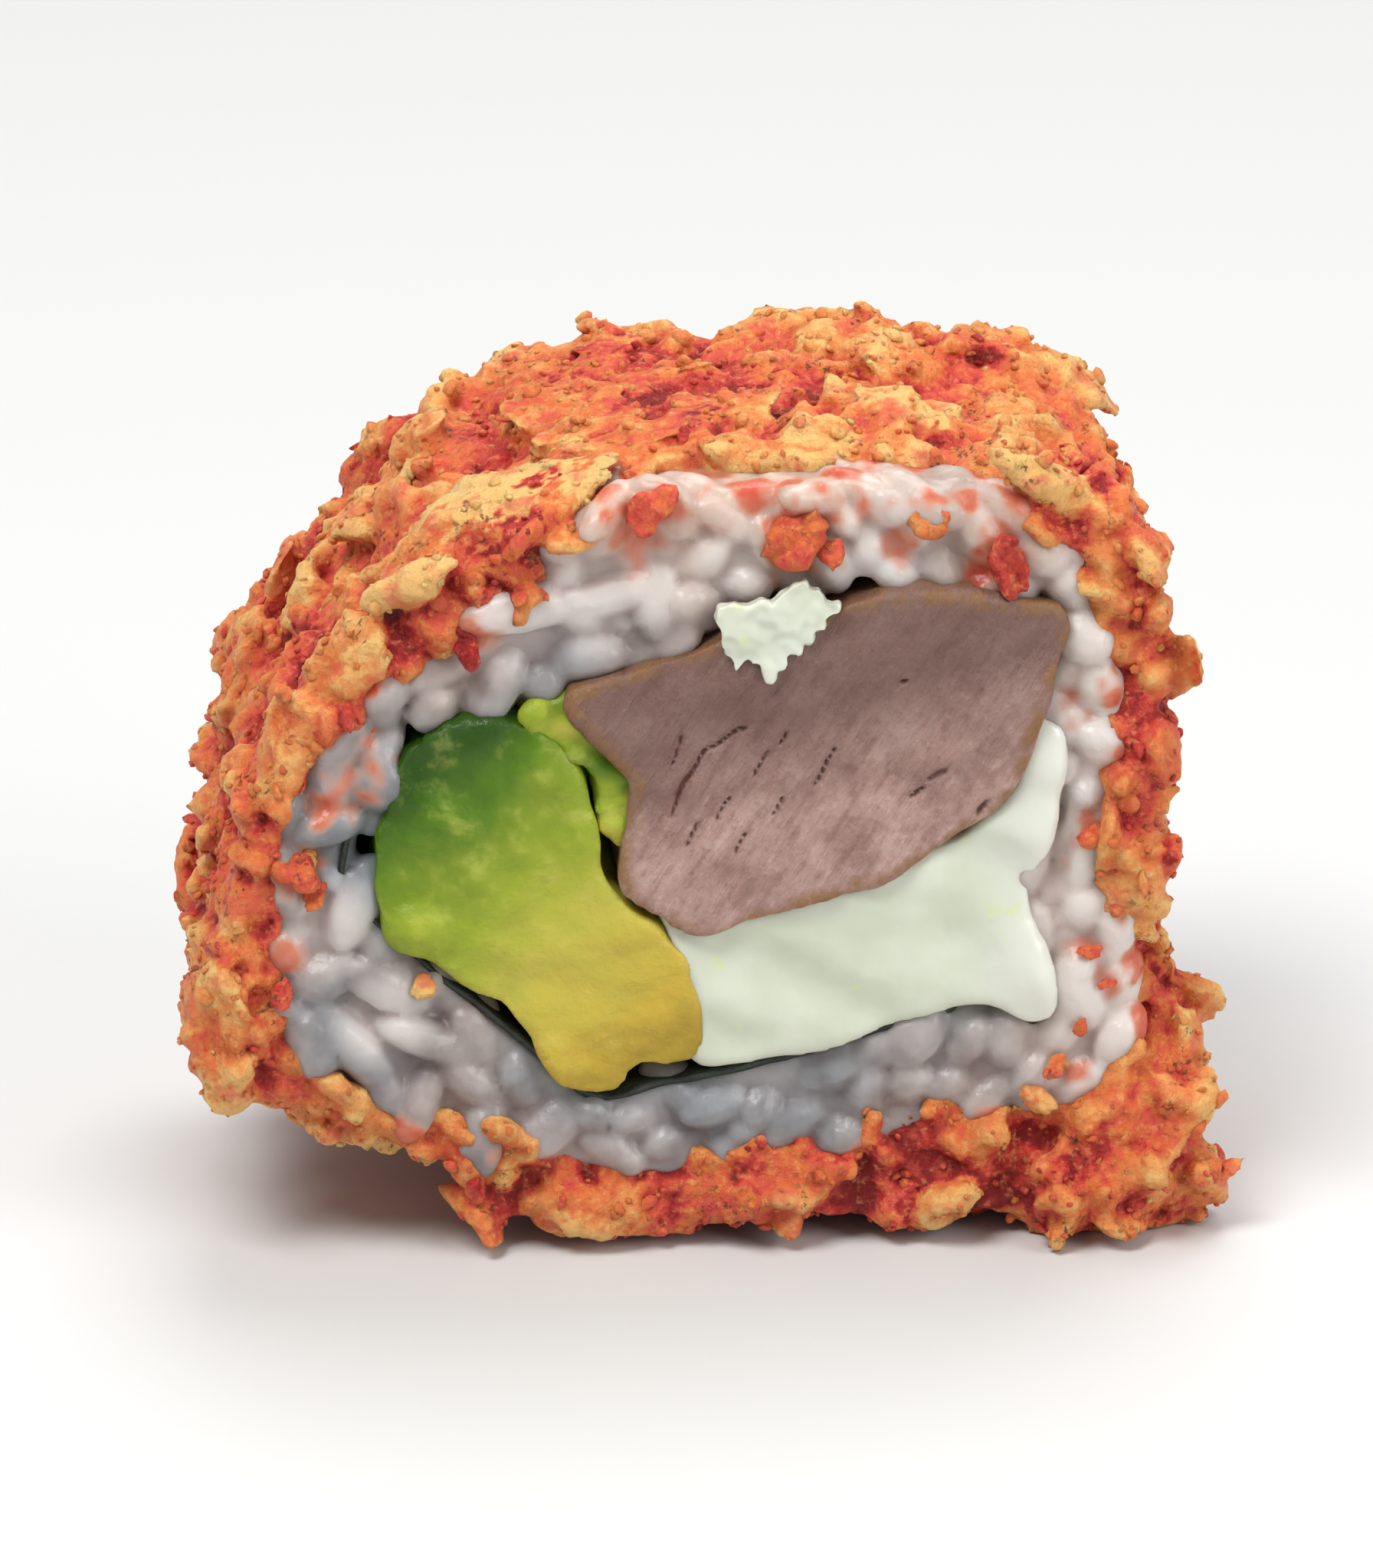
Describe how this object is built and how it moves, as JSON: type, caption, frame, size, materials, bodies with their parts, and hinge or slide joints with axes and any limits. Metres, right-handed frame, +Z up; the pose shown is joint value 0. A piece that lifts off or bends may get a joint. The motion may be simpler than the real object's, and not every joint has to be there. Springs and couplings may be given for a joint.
{
  "type": "uramaki roll",
  "caption": "Piece of uramaki roll in a crisp red coating, cut to show rice, nori, avocado, cooked meat and cream cheese.",
  "frame": {"origin": "on the surface the piece rests on, under the middle of its bounding box", "axes": "+Z up, +X across the cut face, which is the widest way; the roll's own axis lies along Y, and the cut face that shows in the picture looks to -Y"},
  "size_m": [0.049, 0.0262, 0.0394],
  "materials": {
    "coating_crisp": null,
    "rice_cooked": "moist cooked rice, slightly see-through",
    "nori_dark": "damp dark seaweed sheet",
    "avocado_flesh": "moist flesh, green at the skin side and yellow inside",
    "meat_cooked": "moist cooked meat with fine fibres",
    "cream_cheese_white": "smooth white cream cheese"
  },
  "bodies": {
    "root": {"coating": "coating_crisp", "rice": "rice_cooked", "nori": "nori_dark", "avocado": "avocado_flesh", "avocado_sliver": "avocado_flesh", "meat": "meat_cooked", "cream_cheese": "cream_cheese_white"}
  },
  "joints": []
}
